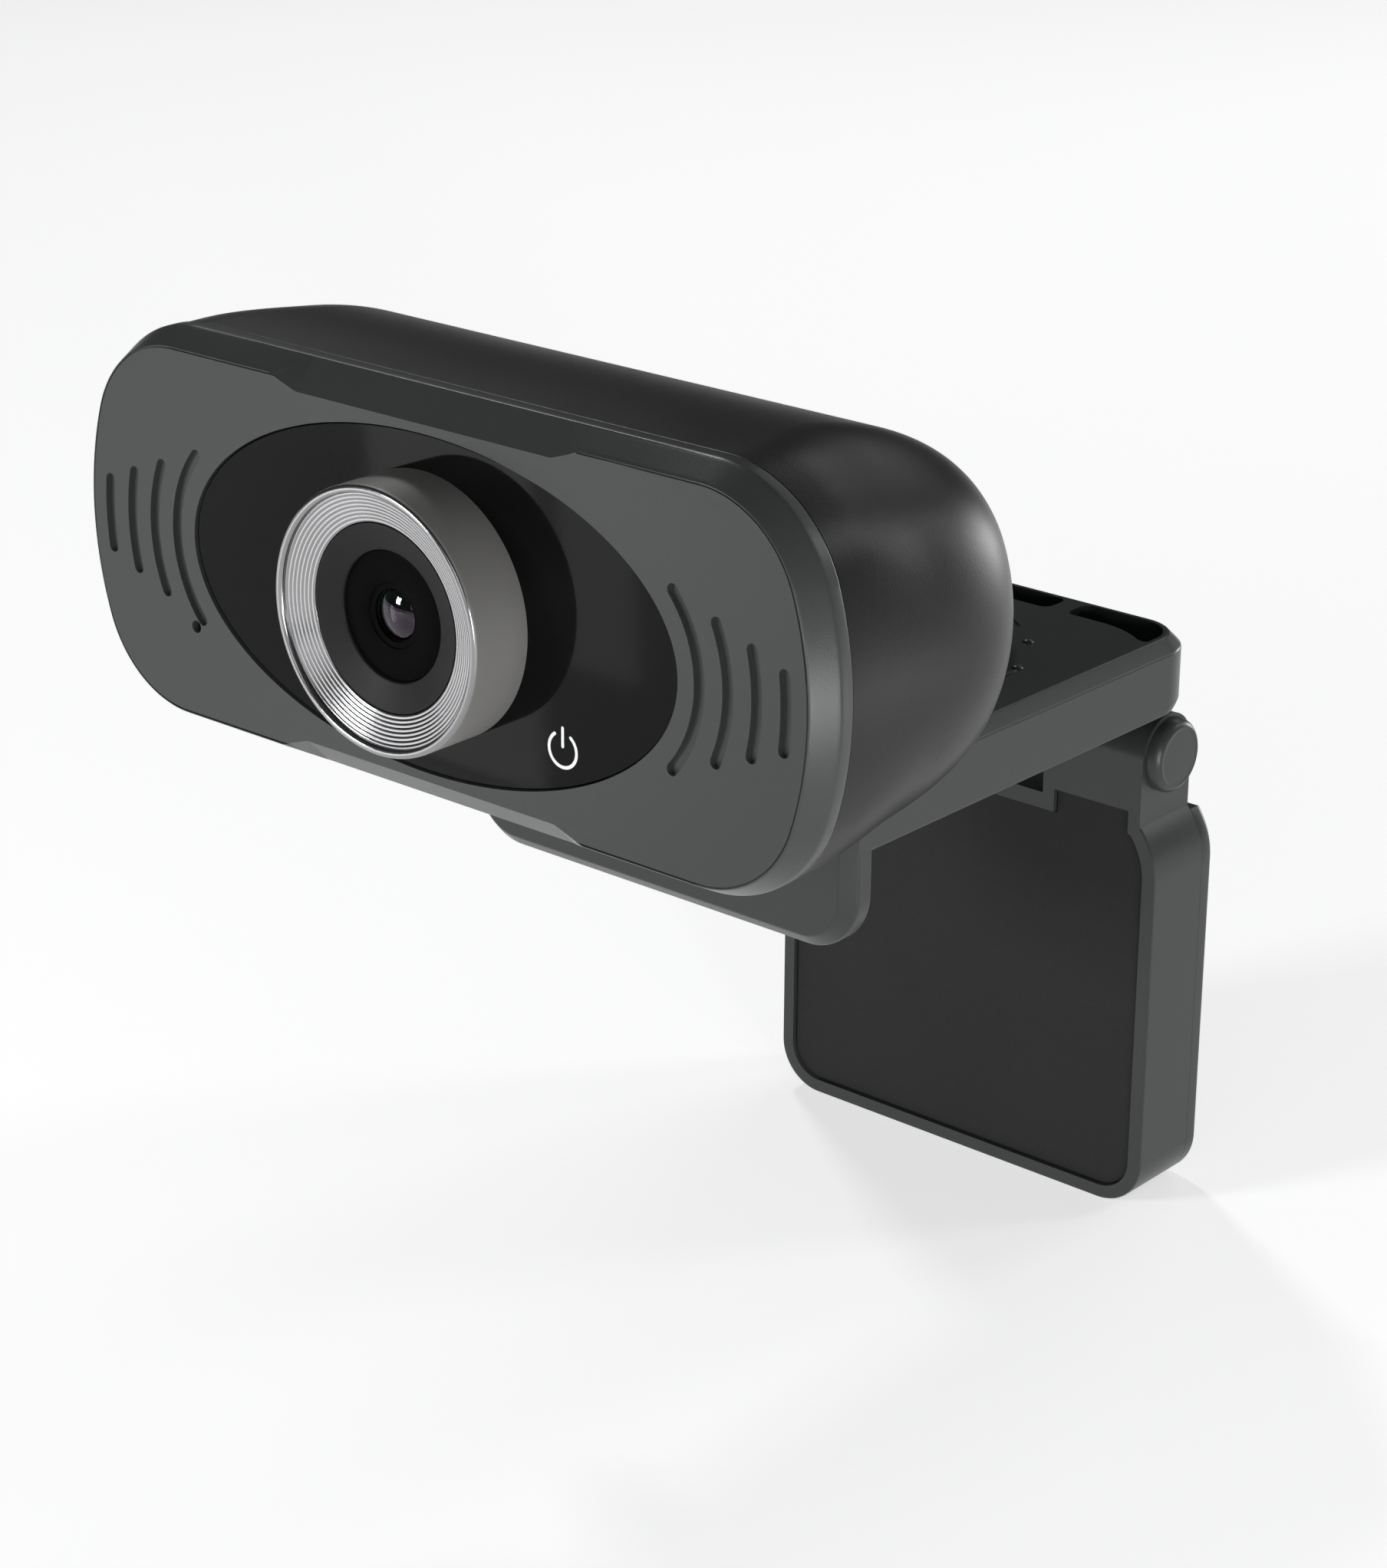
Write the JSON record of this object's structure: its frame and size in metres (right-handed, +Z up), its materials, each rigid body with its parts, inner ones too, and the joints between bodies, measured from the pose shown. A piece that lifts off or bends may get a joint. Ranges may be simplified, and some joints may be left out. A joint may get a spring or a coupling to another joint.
{
  "type": "clip-on webcam",
  "caption": "Webcam with a barrel-ended head, bright lens ring and oval gloss panel, tilting and turning on a clip whose rubber-faced leg folds out behind a screen or takes a tripod.",
  "frame": {"origin": "where the head's pan axis meets the underside of the clip's rest pad, which lies on the top of a screen", "axes": "+Z up along the pan axis; -Y the way the camera looks; X across the head"},
  "size_m": [0.0988, 0.1073, 0.1124],
  "materials": {
    "charcoal_plastic": "fine matt texture",
    "black_plastic": "fine matt texture",
    "gloss_black": "polished",
    "white_diffuser": "smooth",
    "satin_silver": "turned, satin",
    "dark_anodised": "matt anodised",
    "coated_glass": "anti-reflection coating",
    "filter_glass": "coated",
    "silicon": "smooth",
    "board_green": "solder mask",
    "chip_black": "moulded",
    "cream_nylon": "moulded",
    "brass": "machined",
    "zinc_steel": "zinc plated",
    "black_rubber": "fine matt texture",
    "dark_metal": "black coating"
  },
  "bodies": {
    "clip": {"clip_arm": "charcoal_plastic", "glide_ring": "cream_nylon", "arm_cover": "black_plastic", "cover_screws": "zinc_steel", "rest_pad": "black_rubber", "lip_pad": "black_rubber", "hinge_bush": "cream_nylon"},
    "turntable": {"neck": "black_plastic", "swivel_stud": "zinc_steel", "swivel_washer": "zinc_steel", "swivel_nut": "zinc_steel"},
    "head": {"front_bezel": "charcoal_plastic", "glossy_panel": "gloss_black", "power_icon": "white_diffuser", "touch_board": "board_green", "status_led": "white_diffuser", "lens_ring": "satin_silver", "ring_nut": "dark_anodised", "baffle_ring": "dark_anodised", "aperture_disc": "gloss_black", "front_lens": "coated_glass", "lens_barrel": "dark_anodised", "rear_lens": "coated_glass", "lens_holder": "black_plastic", "ir_filter": "filter_glass", "image_sensor": "silicon", "camera_board": "board_green", "board_link": "cream_nylon", "main_board": "board_green", "controller_chip": "chip_black", "usb_header": "cream_nylon", "board_spacers": "brass", "board_screws": "zinc_steel", "microphone": "zinc_steel", "mic_boot": "black_rubber", "rear_shell": "black_plastic", "cable_gland": "black_rubber", "tilt_bracket": "dark_metal", "bracket_screws": "zinc_steel", "tilt_pin": "zinc_steel", "tilt_washers": "cream_nylon"},
    "leg": {"leg_frame": "charcoal_plastic", "leg_cover": "charcoal_plastic", "leg_screws": "zinc_steel", "leg_pad": "black_rubber", "tripod_insert": "brass", "hinge_pin": "zinc_steel", "hinge_caps": "charcoal_plastic"}
  },
  "joints": [
    {"name": "head_pan", "type": "hinge", "parent": "clip", "child": "turntable", "pos_m": [0, 0, 0.0093], "axis": [0, 0, 1], "range_deg": [-150, 150]},
    {"name": "head_tilt", "type": "hinge", "parent": "turntable", "child": "head", "pos_m": [0, -0.025, 0.0136], "axis": [1, 0, 0], "range_deg": [-18, 7]},
    {"name": "leg_fold", "type": "hinge", "parent": "clip", "child": "leg", "pos_m": [0, 0.0264, -0.0057], "axis": [1, 0, 0], "range_deg": [-90, 45]}
  ]
}
